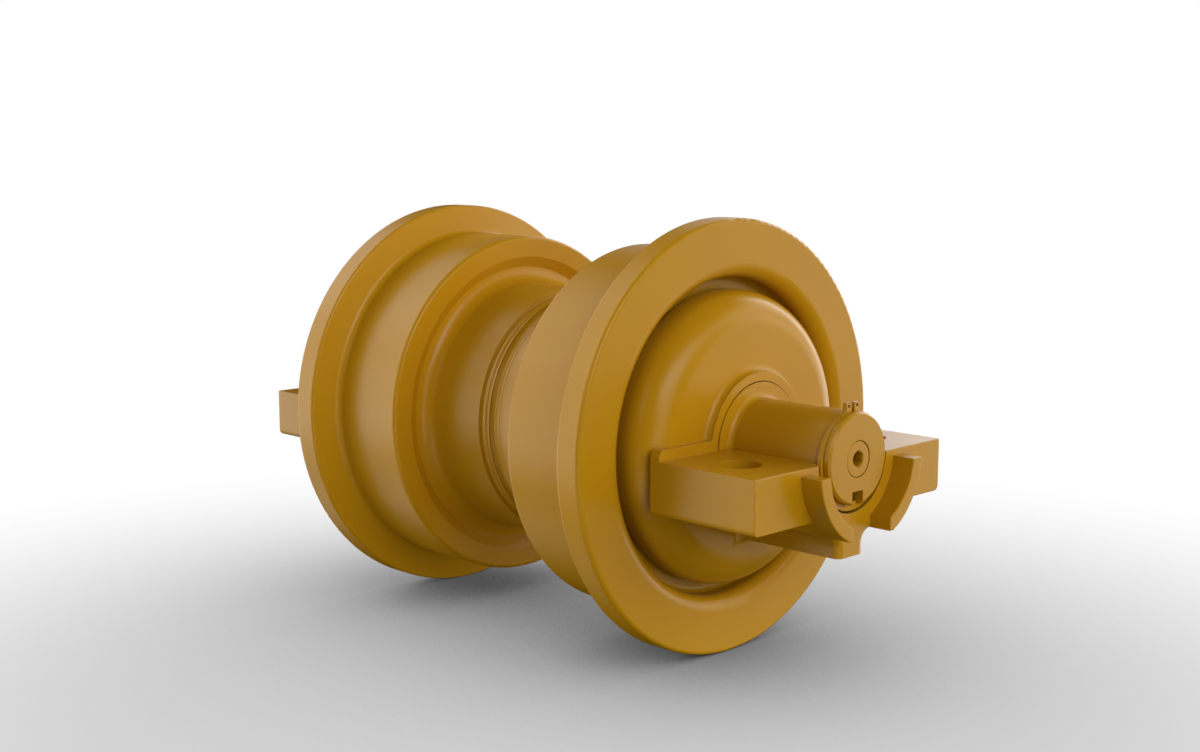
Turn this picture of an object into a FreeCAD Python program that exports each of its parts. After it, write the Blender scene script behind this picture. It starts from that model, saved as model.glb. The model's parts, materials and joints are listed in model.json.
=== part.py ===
import FreeCAD, Part

import math
import os
from types import SimpleNamespace

import Sketcher
from FreeCAD import Placement, Rotation, Vector

# Single flange track roller of a large crawler dozer, in millimetres.
# The Y axis is the spin axis, +Z is up, and the origin is the roller's centre.
# The plug end points along -Y; the plain end is the same build turned half a turn about Z.

DRIVING_SIZES = dict(
    # Rolling shell: flanges, treads and the waist between them
    flange_diameter=315.0,
    shell_width=315.0,
    tread_diameter=270.0,
    tread_gap=125.5,
    tread_edge_round=3.0,
    flange_root_width=25.7,
    flange_face_lean=5.05,
    flange_root_round=5.0,
    flange_inner_edge_round=2.0,
    flange_outer_edge_round=3.0,
    recess_wall_diameter=231.0,
    recess_depth=21.5,
    recess_mouth_round=10.5,
    recess_floor_round=4.0,
    shoulder_slope_width=8.2,
    waist_floor_depth=4.75,
    waist_floor_width=10.4,
    waist_floor_round=11.5,
    round_room=0.02,
    waist_taper=5.7,
    waist_step_width=1.1,
    waist_wall=25.7,
    outer_land_drop=2.1,
    outer_land_width=3.8,
    land_bevel_width=1.6,
    inner_land_drop=0.7,
    inner_land_width=2.2,
    weld_width=8.8,
    weld_edge_drop=0.4,
    weld_valley_depth=2.7,
    weld_valley_round=4.0,
    reservoir_diameter=132.0,
    reservoir_width=40.0,
    # Plain bearings
    bushing_diameter=112.0,
    bushing_flange_width=14.0,
    bushing_flange_thickness=7.0,
    bushing_seat_setback=36.5,
    bushing_oil_hole_diameter=7.0,
    bushing_oil_hole_setback=56.0,
    bushing_bolt_count=6,
    bolt_edge_distance=7.0,
    bolt_shank_diameter=6.0,
    bolt_head_diameter=10.0,
    bolt_head_height=5.0,
    bolt_length=16.0,
    bolt_hole_runout=2.0,
    bolt_clearance=0.4,
    # Shaft
    shaft_diameter=86.5,
    shaft_end_diameter=64.0,
    shaft_end_stand=4.3,
    shaft_end_chamfer=1.6,
    shoulder_round=4.0,
    shoulder_stand=0.6,
    shoulder_relief_room=0.4,
    thrust_collar_diameter=109.0,
    thrust_collar_width=26.0,
    oil_bore_diameter=12.0,
    # Metal face seals with rubber rings
    seal_setback=8.0,
    seal_ramp_diameter=127.0,
    seal_ramp_lean=15.0,
    seal_ring_wall=5.5,
    seal_lip_width=5.5,
    seal_lip_thickness=3.4,
    seal_band_width=5.0,
    seal_face_relief=0.5,
    rubber_section=8.6,
    rubber_stretch=0.6,
    rubber_lip_room=0.2,
    rubber_seat_room=0.6,
    seal_ring_tail=4.0,
    seal_mouth_depth=1.5,
    hub_nose_diameter=176.0,
    # End collars
    skirt_clearance=9.0,
    skirt_floor_gap=4.0,
    skirt_nose_gap=4.0,
    dome_rise=16.4,
    dome_round=24.0,
    boss_diameter=100.6,
    boss_height=5.6,
    boss_round=5.0,
    bore_mouth_gap=0.5,
    bore_mouth_depth=2.0,
    collar_nose_clearance=5.0,
    collar_nose_setback=6.5,
    collar_floor_setback=17.0,
    ear_span=206.6,
    ear_length=82.4,
    ear_depth=37.6,
    ear_edge_round=4.2,
    ear_front_round=0.8,
    lip_sink=2.5,
    lip_rise=7.4,
    lip_corner_round=4.5,
    mount_hole_diameter=29.5,
    mount_hole_spacing=139.6,
    mount_hole_setback=40.9,
    saddle_diameter=113.8,
    ring_seat_margin=5.8,
    ring_seat_depth=4.7,
    keel_width=28.0,
    keel_drop=11.0,
    keel_throat_round=8.0,
    keel_front_round=5.0,
    keel_root_round=6.0,
    keel_root_room=3,
    guard_thickness=10.1,
    guard_length=16.9,
    guard_root_depth=8.0,
    guard_top_drop=4.5,
    guard_foot_rise=5.9,
    guard_gap=42.0,
    guard_edge_round=0.8,
    # Retaining rings and keys
    ring_groove_depth=2.0,
    ring_groove_width=3.6,
    ring_thickness=3.2,
    ring_setback=1.2,
    ring_stand=2.3,
    ring_drop=1.9,
    ring_gap=3.3,
    ring_lug_width=5.3,
    ring_lug_stand=6.0,
    ring_lug_round=2.2,
    ring_hole_diameter=2.3,
    ring_hole_spacing=8.8,
    ring_hole_edge_distance=2.3,
    key_width=11.8,
    key_depth_in_shaft=9.9,
    key_depth_in_saddle=5.2,
    key_length=33.0,
    key_ring_gap=0.5,
    keyway_end_gap=2.0,
    # Oil plug and small seals
    plug_diameter=24.4,
    plug_length=18.0,
    plug_sink=0.3,
    plug_mouth_gap=0.5,
    plug_mouth_depth=1.5,
    plug_edge_chamfer=0.2,
    hex_across_flats=10.0,
    hex_depth=9.0,
    hex_mouth_margin=1.7,
    hex_mouth_depth=0.6,
    plug_washer_thickness=1.7,
    oil_ring_section=3.6,
    oil_ring_side_room=1.0,
    oil_ring_setback=9.0,
    # Clearances between the pieces
    running_clearance=0.08,
    seat_clearance=0.1,
    end_play=0.4,
    seal_face_clearance=0.03,
)

ENDS = ("plug_end", "plain_end")
FULL_TURN = 360.0
HALF_TURN = 180.0
QUARTER_TURN = 90.0
TOUCH = 0.01
# Numbers by which a sketch knows a curve's points and its own two axes
START_INDEX = 1
END_INDEX = 2
CENTRE_INDEX = 3
LEVEL_AXIS_INDEX = -1
UPRIGHT_AXIS_INDEX = -2


class Size:
    """A length of the object: its value, and the sheet expression that gives the same value."""

    def __init__(self, value, text):
        self.value = value
        self.text = text

    @staticmethod
    def of(other):
        """Return other as a Size, also when it is a plain number."""
        if isinstance(other, Size):
            return other
        return Size(float(other), repr(float(other)))

    def __add__(self, other):
        other = Size.of(other)
        return Size(self.value + other.value, f"({self.text} + {other.text})")

    def __sub__(self, other):
        other = Size.of(other)
        return Size(self.value - other.value, f"({self.text} - {other.text})")

    def __mul__(self, other):
        other = Size.of(other)
        return Size(self.value * other.value, f"({self.text} * {other.text})")

    def __truediv__(self, other):
        other = Size.of(other)
        return Size(self.value / other.value, f"({self.text} / {other.text})")

    def __neg__(self):
        return Size(-self.value, f"(-1 * {self.text})")


ZERO = Size(0.0, "0")


def root(size):
    """Return the square root of a size."""
    return Size(math.sqrt(size.value), f"sqrt({size.text})")


def tangent(size):
    """Return the tangent of an angle that the sheet holds in degrees."""
    return Size(math.tan(math.radians(size.value)), f"tan({size.text} * 1 deg)")


def cosine(size):
    """Return the cosine of an angle that the sheet holds in degrees."""
    return Size(math.cos(math.radians(size.value)), f"cos({size.text} * 1 deg)")


def sine(size):
    """Return the sine of an angle that the sheet holds in degrees."""
    return Size(math.sin(math.radians(size.value)), f"sin({size.text} * 1 deg)")


def smaller(first, second):
    """Return the smaller of two sizes."""
    return Size(min(first.value, second.value), f"min({first.text}; {second.text})")


def chord_reach(radius, offset):
    """Return how far a circle of this radius reaches at a given distance from its centre."""
    return root(radius * radius - offset * offset)


def fill_sheet(document):
    """Write the driving sizes to the sheet and return them by name."""
    sheet = document.addObject("Spreadsheet::Sheet", "sizes")
    sizes = {}
    for row, (name, value) in enumerate(DRIVING_SIZES.items(), start=1):
        sheet.set(f"A{row}", name)
        sheet.set(f"B{row}", str(value))
        sheet.setAlias(f"B{row}", name)
        sizes[name] = Size(float(value), f"sizes.{name}")
    document.recompute()
    return SimpleNamespace(**sizes)


def place_shell(size):
    """Work out the shell's places: reaches along the axis from the centre, and radii."""
    size.outer_face = size.shell_width / 2
    size.flange_root_reach = size.outer_face - size.flange_root_width
    size.recess_floor_reach = size.outer_face - size.recess_depth
    size.inner_land_radius = size.reservoir_diameter / 2 + size.waist_wall
    size.outer_land_radius = size.inner_land_radius + size.inner_land_drop
    size.waist_tube_radius = size.outer_land_radius + size.outer_land_drop
    size.waist_root_radius = size.waist_tube_radius + size.waist_taper
    size.waist_floor_radius = size.waist_root_radius + size.waist_floor_width
    size.shoulder_inner_radius = size.waist_floor_radius + size.shoulder_slope_width
    size.shoulder_width = size.tread_diameter / 2 - size.shoulder_inner_radius
    size.waist_floor_reach = size.tread_gap / 2 + size.waist_floor_depth
    size.outer_land_reach = size.weld_width / 2 + size.inner_land_width + size.land_bevel_width
    size.waist_step_reach = size.outer_land_reach + size.outer_land_width
    size.waist_tube_reach = size.waist_step_reach + size.waist_step_width
    size.bushing_seat_reach = size.outer_face - size.bushing_seat_setback
    size.bushing_oil_hole_reach = size.bushing_seat_reach - size.bushing_oil_hole_setback
    size.bushing_flange_radius = size.bushing_diameter / 2 + size.bushing_flange_width
    size.bushing_bolt_radius = size.bushing_flange_radius - size.bolt_edge_distance


def place_seals(size):
    """Work out the face seals' places, from the plane where the two metal rings meet."""
    size.seal_face_reach = size.outer_face - size.seal_setback
    half_rubber = size.rubber_section / 2 + size.rubber_stretch
    size.rubber_centre_depth = size.seal_lip_thickness + size.rubber_lip_room + half_rubber
    size.seal_ring_depth = size.rubber_centre_depth + size.seal_ring_tail
    size.seal_seat_depth = size.rubber_centre_depth + half_rubber + size.rubber_seat_room
    size.seal_bore_radius = size.seal_ramp_diameter / 2 - size.seal_ring_wall
    size.seal_lip_radius = size.seal_ramp_diameter / 2 + size.seal_lip_width


def place_collars(size):
    """Work out the collars' places, outwards from the shell's face."""
    size.skirt_radius = size.recess_wall_diameter / 2 - size.skirt_clearance
    size.skirt_bore_radius = size.hub_nose_diameter / 2 + size.skirt_nose_gap
    size.skirt_reach = size.recess_floor_reach + size.skirt_floor_gap
    size.dome_face_reach = size.outer_face + size.dome_rise
    size.boss_face_reach = size.dome_face_reach + size.boss_height
    size.lip_back_reach = size.dome_face_reach - size.lip_sink
    size.collar_nose_radius = size.seal_bore_radius - size.collar_nose_clearance
    size.collar_nose_reach = size.seal_face_reach + size.collar_nose_setback
    size.collar_floor_reach = size.seal_face_reach + size.collar_floor_setback
    size.ear_front_reach = size.boss_face_reach + size.ear_length
    size.mount_hole_reach = size.ear_front_reach - size.mount_hole_setback
    size.guard_reach = size.ear_front_reach + size.guard_length
    size.guard_inner_radius = size.saddle_diameter / 2 - size.guard_thickness
    size.guard_bottom_drop = size.saddle_diameter / 2 - size.guard_foot_rise
    size.keel_depth = size.saddle_diameter / 2 + size.keel_drop
    half_keel = size.keel_width / 2
    size.keel_corner_radius = root(size.keel_depth * size.keel_depth + half_keel * half_keel)
    size.oil_ring_reach = size.boss_face_reach - size.oil_ring_setback


def place_shaft_end(size):
    """Work out the places of the shaft's end, its ring, its key and its plug."""
    size.shaft_end_reach = size.ear_front_reach + size.shaft_end_stand
    size.shaft_end_radius = size.shaft_end_diameter / 2
    size.shoulder_reach = size.boss_face_reach + size.shoulder_stand
    size.shoulder_front = size.shoulder_reach + size.seat_clearance
    size.plug_face_reach = size.shaft_end_reach - size.plug_sink
    size.plug_floor_reach = size.plug_face_reach - size.plug_length - size.plug_washer_thickness
    size.shoulder_relief = size.shoulder_round + size.shoulder_relief_room
    size.ring_front_reach = size.ear_front_reach - size.ring_setback
    size.ring_seat_radius = size.shaft_end_radius + size.ring_seat_margin
    size.ring_groove_radius = size.shaft_end_radius - size.ring_groove_depth
    size.ring_radius = size.shaft_end_radius + size.ring_stand
    size.ring_lug_rise = size.shaft_end_radius + size.ring_lug_stand
    size.ring_hole_rise = size.ring_lug_rise - size.ring_hole_edge_distance
    size.key_seat_height = size.shaft_end_radius - size.key_depth_in_shaft
    size.key_bottom_depth = size.shaft_end_radius + size.key_depth_in_saddle
    size.key_outer_end = size.ring_front_reach - size.ring_thickness - size.key_ring_gap
    size.keyway_inner_end = size.key_outer_end - size.key_length - size.keyway_end_gap


def new_body(label):
    """Start one sub-part."""
    body = FreeCAD.ActiveDocument.addObject("PartDesign::Body", label)
    body.Label = label
    return body


def turn_to(body, end):
    """Leave a body at the plug end, or turn it half a turn about Z to the plain end."""
    if end == "plain_end":
        body.Placement = Placement(Vector(), Rotation(Vector(0, 0, 1), HALF_TURN))


def finish(body, feature):
    """Make a feature the body's last one and compute it."""
    body.Tip = feature
    FreeCAD.ActiveDocument.recompute()
    return feature


class Outline:
    """Closed loops in one sketch on a plane of the body, every corner tied to the sheet."""

    def __init__(self, body, name, plane="XY_Plane", offset=None):
        self.body = body
        self.sketch = body.newObject("Sketcher::SketchObject", name)
        planes = {feature.Role: feature for feature in body.Origin.OriginFeatures}
        self.sketch.AttachmentSupport = [(planes[plane], "")]
        self.sketch.MapMode = "FlatFace"
        if offset is not None:
            self.sketch.AttachmentOffset = Placement(Vector(0, 0, offset.value), Rotation())
            self.sketch.setExpression("AttachmentOffset.Base.z", offset.text)

    def bind(self, constraint, size):
        """Add a constraint with a value and tie it to the sheet."""
        index = self.sketch.addConstraint(constraint)
        self.sketch.setExpression(f"Constraints[{index}]", size.text)

    def fix(self, geometry, vertex, across, upward):
        """Hold a vertex at a place measured from the sketch's origin."""
        if across is ZERO:
            self.hold_on_axis(geometry, vertex, UPRIGHT_AXIS_INDEX)
        else:
            self.hold_at("DistanceX", geometry, vertex, across)
        if upward is ZERO:
            self.hold_on_axis(geometry, vertex, LEVEL_AXIS_INDEX)
        else:
            self.hold_at("DistanceY", geometry, vertex, upward)

    def hold_on_axis(self, geometry, vertex, axis):
        """Hold a vertex on one of the sketch's axes."""
        self.sketch.addConstraint(Sketcher.Constraint("PointOnObject", geometry, vertex, axis))

    def hold_at(self, direction, geometry, vertex, distance):
        """Hold a vertex at a distance from the sketch's origin, across or upward."""
        origin = (LEVEL_AXIS_INDEX, START_INDEX)
        self.bind(Sketcher.Constraint(direction, *origin, geometry, vertex, distance.value), distance)

    def join(self, first, first_vertex, second, second_vertex):
        """Join two curve ends."""
        joint = Sketcher.Constraint("Coincident", first, first_vertex, second, second_vertex)
        self.sketch.addConstraint(joint)

    def meet_smoothly(self, first, first_vertex, second, second_vertex):
        """Join two curve ends and let one curve run smoothly into the other."""
        joint = Sketcher.Constraint("Tangent", first, first_vertex, second, second_vertex)
        self.sketch.addConstraint(joint)

    def line(self, start, end):
        """Draw a line between two places given as pairs of sizes."""
        points = [Vector(place[0].value, place[1].value, 0) for place in (start, end)]
        return self.sketch.addGeometry(Part.LineSegment(*points), False)

    def polygon(self, corners):
        """Draw a closed polygon through corners given as pairs of sizes."""
        lines = []
        for index, corner in enumerate(corners):
            lines.append(self.line(corner, corners[(index + 1) % len(corners)]))
        for index, corner in enumerate(corners):
            self.join(lines[index - 1], END_INDEX, lines[index], START_INDEX)
            self.fix(lines[index], START_INDEX, *corner)
        return self

    def rectangle(self, left, right, low, high):
        """Draw a rectangle between four edges."""
        return self.polygon([(left, low), (right, low), (right, high), (left, high)])

    def circle(self, across, upward, diameter):
        """Draw a circle of a given diameter."""
        centre = Vector(across.value, upward.value, 0)
        shape = Part.Circle(centre, Vector(0, 0, 1), diameter.value / 2)
        index = self.sketch.addGeometry(shape, False)
        self.fix(index, CENTRE_INDEX, across, upward)
        self.bind(Sketcher.Constraint("Diameter", index, diameter.value), diameter)
        return self

    def arc(self, across, upward, radius, start, end):
        """Draw an arc between two angles in degrees and hold its centre and radius."""
        centre = Vector(across.value, upward.value, 0)
        circle = Part.Circle(centre, Vector(0, 0, 1), radius.value)
        shape = Part.ArcOfCircle(circle, math.radians(start), math.radians(end))
        index = self.sketch.addGeometry(shape, False)
        self.fix(index, CENTRE_INDEX, across, upward)
        self.bind(Sketcher.Constraint("Radius", index, radius.value), radius)
        return index

    def lower_half_disc(self, radius):
        """Draw the half of a disc below the sketch's horizontal axis."""
        arc = self.arc(ZERO, ZERO, radius, HALF_TURN, FULL_TURN)
        line = self.line((radius, ZERO), (-radius, ZERO))
        self.join(arc, END_INDEX, line, START_INDEX)
        self.join(line, END_INDEX, arc, START_INDEX)
        for vertex in (START_INDEX, END_INDEX):
            self.hold_on_axis(arc, vertex, LEVEL_AXIS_INDEX)
        return self

    def round_ended_slot(self, half_width, open_end, round_end):
        """Draw a slot along the vertical axis: square at one end and round at the other."""
        upward = round_end.value > open_end.value
        if upward:
            centre = round_end - half_width
            arc = self.arc(ZERO, centre, half_width, 0.0, HALF_TURN)
            right_vertex, left_vertex = START_INDEX, END_INDEX
        else:
            centre = round_end + half_width
            arc = self.arc(ZERO, centre, half_width, HALF_TURN, FULL_TURN)
            right_vertex, left_vertex = END_INDEX, START_INDEX
        right = self.line((half_width, open_end), (half_width, centre))
        left = self.line((-half_width, centre), (-half_width, open_end))
        base = self.line((-half_width, open_end), (half_width, open_end))
        add = self.sketch.addConstraint
        self.meet_smoothly(right, END_INDEX, arc, right_vertex)
        self.meet_smoothly(arc, left_vertex, left, START_INDEX)
        add(Sketcher.Constraint("Vertical", right))
        add(Sketcher.Constraint("Vertical", left))
        self.join(left, END_INDEX, base, START_INDEX)
        self.join(base, END_INDEX, right, START_INDEX)
        add(Sketcher.Constraint("Horizontal", base))
        self.hold_at("DistanceY", base, START_INDEX, open_end)
        return self

    def guard_section(self, side, inner, outer, top, gap, bottom):
        """Draw one arc guard: a band of a ring cut off level above, beside and below."""
        near = gap * side
        high, low = -top, -bottom
        places = [
            (chord_reach(inner, top) * side, high),
            (chord_reach(outer, top) * side, high),
            (chord_reach(outer, bottom) * side, low),
            (near, low),
            (near, -chord_reach(inner, gap)),
        ]
        turns = [math.degrees(math.atan2(y.value, x.value)) for x, y in places]
        upper = self.line(places[0], places[1])
        lower = self.line(places[2], places[3])
        inside = self.line(places[3], places[4])
        if side > 0:
            outside = self.arc(ZERO, ZERO, outer, turns[2], turns[1])
            hollow = self.arc(ZERO, ZERO, inner, turns[4], turns[0])
            high_vertex, low_vertex = END_INDEX, START_INDEX
        else:
            outside = self.arc(ZERO, ZERO, outer, turns[1], turns[2])
            hollow = self.arc(ZERO, ZERO, inner, turns[0], turns[4])
            high_vertex, low_vertex = START_INDEX, END_INDEX
        self.join(upper, END_INDEX, outside, high_vertex)
        self.join(outside, low_vertex, lower, START_INDEX)
        self.join(lower, END_INDEX, inside, START_INDEX)
        self.join(inside, END_INDEX, hollow, low_vertex)
        self.join(hollow, high_vertex, upper, START_INDEX)
        add = self.sketch.addConstraint
        add(Sketcher.Constraint("Horizontal", upper))
        add(Sketcher.Constraint("Horizontal", lower))
        add(Sketcher.Constraint("Vertical", inside))
        self.hold_at("DistanceY", upper, START_INDEX, high)
        self.hold_at("DistanceY", lower, START_INDEX, low)
        self.hold_at("DistanceX", inside, START_INDEX, near)
        return self

    def regular_hexagon(self, across_flats):
        """Draw a hexagon about the origin with a corner straight up."""
        reach = across_flats / Size.of(math.sqrt(3))
        half = across_flats / 2
        corners = [
            (ZERO, reach),
            (-half, reach / 2),
            (-half, -reach / 2),
            (ZERO, -reach),
            (half, -reach / 2),
            (half, reach / 2),
        ]
        return self.polygon(corners)

    def revolve(self, name):
        """Turn the outline a full turn about the spin axis."""
        feature = self.body.newObject("PartDesign::Revolution", name)
        feature.Profile = self.sketch
        feature.ReferenceAxis = (self.sketch, ["V_Axis"])
        feature.Angle = FULL_TURN
        return finish(self.body, feature)

    def groove(self, name):
        """Cut the outline, turned a full turn about the spin axis, out of the body."""
        feature = self.body.newObject("PartDesign::Groove", name)
        feature.Profile = self.sketch
        feature.ReferenceAxis = (self.sketch, ["V_Axis"])
        feature.Angle = FULL_TURN
        return self.check_cut(feature)

    def pad(self, name, length):
        """Raise the outline from its plane along the plane's normal."""
        feature = self.body.newObject("PartDesign::Pad", name)
        feature.Profile = self.sketch
        feature.setExpression("Length", length.text)
        return finish(self.body, feature)

    def pocket(self, name, length, forward=False):
        """Cut the outline against the plane's normal, or along it when forward is set."""
        feature = self.body.newObject("PartDesign::Pocket", name)
        feature.Profile = self.sketch
        feature.Reversed = forward
        feature.setExpression("Length", length.text)
        return self.check_cut(feature)

    def check_cut(self, feature):
        """Compute a cut and make sure that it removed something."""
        before = self.body.Shape.Volume
        finish(self.body, feature)
        if self.body.Shape.Volume > before - TOUCH:
            raise RuntimeError(f"{self.body.Label}: {feature.Name} cuts nothing")
        return feature


def is_ring(radius, reach):
    """Return a test for round edges about the spin axis, by radius and place on the axis."""

    def test(edge):
        curve = edge.Curve
        if not isinstance(curve, Part.Circle) or abs(abs(curve.Axis.y) - 1) > TOUCH:
            return False
        off_axis = math.hypot(curve.Center.x, curve.Center.z)
        fits = abs(curve.Radius - radius.value) < TOUCH and abs(curve.Center.y - reach.value) < TOUCH
        return fits and off_axis < TOUCH

    return test


def is_level_line(across, height):
    """Return a test for straight edges along the spin axis, by their place beside and above it."""

    def test(edge):
        first, last = edge.Vertexes[0].Point, edge.Vertexes[-1].Point
        along = abs(first.x - last.x) < TOUCH and abs(first.z - last.z) < TOUCH
        beside = abs(abs(first.x) - across.value) < TOUCH
        return along and beside and abs(first.z - height.value) < TOUCH

    return test


def is_upright_line(across, reach):
    """Return a test for straight upright edges, by their place beside and along the spin axis."""

    def test(edge):
        first, last = edge.Vertexes[0].Point, edge.Vertexes[-1].Point
        upright = abs(first.x - last.x) < TOUCH and abs(first.y - last.y) < TOUCH
        beside = abs(abs(first.x) - across.value) < TOUCH
        return upright and beside and abs(first.y - reach.value) < TOUCH

    return test


def is_foot_line(reach, height):
    """Return a test for straight edges across the roller, by their place along and above the axis."""

    def test(edge):
        first, last = edge.Vertexes[0].Point, edge.Vertexes[-1].Point
        across = abs(first.y - last.y) < TOUCH and abs(first.z - last.z) < TOUCH
        along = abs(first.y - reach.value) < TOUCH
        return across and along and abs(first.z - height.value) < TOUCH

    return test


def is_on_face(reach):
    """Return a test for the edges of a face square to the spin axis, by its place on the axis."""

    def test(edge):
        box = edge.BoundBox
        return abs(box.YMin - reach.value) < TOUCH and abs(box.YMax - reach.value) < TOUCH

    return test


def blend(body, name, radius, tests, kind="Fillet"):
    """Round or bevel the edges of the body's last feature that pass one of the tests."""
    base = body.Tip
    names = []
    for index, edge in enumerate(base.Shape.Edges, start=1):
        if any(test(edge) for test in tests):
            names.append(f"Edge{index}")
    if len(names) < len(tests):
        raise RuntimeError(f"{body.Label}: {name} finds {len(names)} of {len(tests)} edges")
    feature = body.newObject(f"PartDesign::{kind}", name)
    feature.Base = (base, names)
    feature.setExpression("Radius" if kind == "Fillet" else "Size", radius.text)
    return finish(body, feature)


def ring_pattern(body, feature, count):
    """Repeat a feature evenly about the spin axis."""
    pattern = body.newObject("PartDesign::PolarPattern", feature.Name + "Pattern")
    pattern.Originals = [feature]
    axes = {item.Role: item for item in body.Origin.OriginFeatures}
    pattern.Axis = (axes["Y_Axis"], [""])
    pattern.Angle = FULL_TURN
    pattern.setExpression("Occurrences", count.text)
    return finish(body, pattern)


def seal_ramp_radius(size, depth):
    """Return the radius of the metal ring's ramp at a depth behind the seal face."""
    return size.seal_ramp_diameter / 2 + (size.rubber_centre_depth - depth) * tangent(size.seal_ramp_lean)


def seal_seat_radius(size, depth):
    """Return the radius of the seat's ramp, parallel to the metal ring's with the rubber between."""
    gap = (size.rubber_section + size.seat_clearance) / cosine(size.seal_ramp_lean)
    return seal_ramp_radius(size, depth) + gap


def waist_floor_round(size):
    """Return the round at the waist's floor, no larger than the floor's width lets it be."""
    slope = size.waist_taper / (size.waist_floor_reach - size.waist_tube_reach)
    largest = (size.waist_floor_width - size.round_room) * (root(slope * slope + 1) + slope)
    return smaller(size.waist_floor_round, largest)


def dome_round(size):
    """Return the dome's round, small enough to leave the keel's root on the flat face."""
    keel_root = size.keel_corner_radius + size.keel_root_round + size.keel_root_room
    return smaller(size.dome_round, size.skirt_radius - keel_root)


def make_rim_half(size, end):
    """Make one half of the rolling shell: flange, tread, waist tube and seal housing."""
    body = new_body(f"rim_half_{end}")
    tread = size.tread_diameter / 2
    flange = size.flange_diameter / 2
    outer_face = size.outer_face
    side_face = size.tread_gap / 2
    weld_face = size.weld_width / 2
    inner_land = weld_face + size.inner_land_width
    reservoir = size.reservoir_diameter / 2
    floor = size.waist_floor_reach
    recess = size.recess_wall_diameter / 2
    nose = size.hub_nose_diameter / 2
    nose_face = size.seal_face_reach - size.seal_mouth_depth
    seat_back = size.seal_face_reach - size.seal_seat_depth
    bushing = size.bushing_diameter / 2
    pilot = size.bushing_flange_radius + size.seat_clearance
    corners = [
        (reservoir, weld_face),
        (size.inner_land_radius, weld_face),
        (size.inner_land_radius, inner_land),
        (size.outer_land_radius, size.outer_land_reach),
        (size.outer_land_radius, size.waist_step_reach),
        (size.waist_tube_radius, size.waist_tube_reach),
        (size.waist_root_radius, floor),
        (size.waist_floor_radius, floor),
        (size.shoulder_inner_radius, side_face),
        (tread, side_face),
        (tread, size.flange_root_reach),
        (flange, size.flange_root_reach + size.flange_face_lean),
        (flange, outer_face),
        (recess, outer_face),
        (recess, size.recess_floor_reach),
        (nose, size.recess_floor_reach),
        (nose, nose_face),
        (seal_seat_radius(size, size.seal_mouth_depth), nose_face),
        (seal_seat_radius(size, size.seal_seat_depth), seat_back),
        (pilot, seat_back),
        (pilot, size.bushing_seat_reach),
        (bushing, size.bushing_seat_reach),
        (bushing, size.reservoir_width / 2),
        (reservoir, size.reservoir_width / 2),
    ]
    outline = Outline(body, "ShellSection")
    outline.polygon([(radius, -reach) for radius, reach in corners])
    outline.revolve("Shell")
    flange_root = is_ring(tread, -size.flange_root_reach)
    blend(body, "WaistFloorRound", waist_floor_round(size), [is_ring(size.waist_root_radius, -floor)])
    blend(body, "FlangeRootRound", size.flange_root_round, [flange_root])
    edge_round = smaller(size.tread_edge_round, size.shoulder_width / 2)
    blend(body, "TreadEdgeRound", edge_round, [is_ring(tread, -side_face)])
    inner_edge = is_ring(flange, -(size.flange_root_reach + size.flange_face_lean))
    blend(body, "FlangeInnerRound", size.flange_inner_edge_round, [inner_edge])
    blend(body, "FlangeOuterRound", size.flange_outer_edge_round, [is_ring(flange, -outer_face)])
    blend(body, "RecessMouthRound", size.recess_mouth_round, [is_ring(recess, -outer_face)])
    floor_rings = [is_ring(recess, -size.recess_floor_reach), is_ring(nose, -size.recess_floor_reach)]
    blend(body, "RecessFloorRound", size.recess_floor_round, floor_rings)
    holes = Outline(body, "BoltHoleSection", "XZ_Plane", size.bushing_seat_reach)
    holes.circle(ZERO, size.bushing_bolt_radius, size.bolt_shank_diameter + size.bolt_clearance)
    depth = size.bolt_length - size.bushing_flange_thickness + size.bolt_hole_runout
    hole = holes.pocket("BoltHole", depth)
    ring_pattern(body, hole, size.bushing_bolt_count)
    turn_to(body, end)


def make_weld_ring(size):
    """Make the ring of weld in its shallow V between the two halves of the shell."""
    body = new_body("weld_ring")
    reservoir = size.reservoir_diameter / 2
    half = size.weld_width / 2
    edge = size.inner_land_radius - size.weld_edge_drop
    valley = size.inner_land_radius - size.weld_valley_depth
    outline = Outline(body, "WeldSection")
    corners = [(reservoir, -half), (edge, -half), (valley, ZERO), (edge, half), (reservoir, half)]
    outline.polygon(corners)
    outline.revolve("Weld")
    blend(body, "ValleyRound", size.weld_valley_round, [is_ring(valley, ZERO)])


def make_bushing(size, end):
    """Make one flanged bronze bushing with its oil hole and bolt holes."""
    body = new_body(f"bushing_{end}")
    bore = size.shaft_diameter / 2 + size.running_clearance
    outer = size.bushing_diameter / 2
    flange = size.bushing_flange_radius
    thrust_face = size.thrust_collar_width / 2 + size.end_play
    flange_back = size.bushing_seat_reach
    flange_front = flange_back + size.bushing_flange_thickness
    corners = [
        (bore, thrust_face),
        (outer, thrust_face),
        (outer, flange_back),
        (flange, flange_back),
        (flange, flange_front),
        (bore, flange_front),
    ]
    outline = Outline(body, "BushingSection")
    outline.polygon([(radius, -reach) for radius, reach in corners])
    outline.revolve("Bushing")
    oil = Outline(body, "OilHoleSection")
    oil.circle(ZERO, -size.bushing_oil_hole_reach, size.bushing_oil_hole_diameter)
    oil.pocket("OilHole", size.bushing_diameter, forward=True)
    holes = Outline(body, "BoltHoleSection", "XZ_Plane", flange_front)
    holes.circle(ZERO, size.bushing_bolt_radius, size.bolt_shank_diameter + size.bolt_clearance)
    hole = holes.pocket("BoltHole", size.bushing_flange_thickness)
    ring_pattern(body, hole, size.bushing_bolt_count)
    turn_to(body, end)


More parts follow.
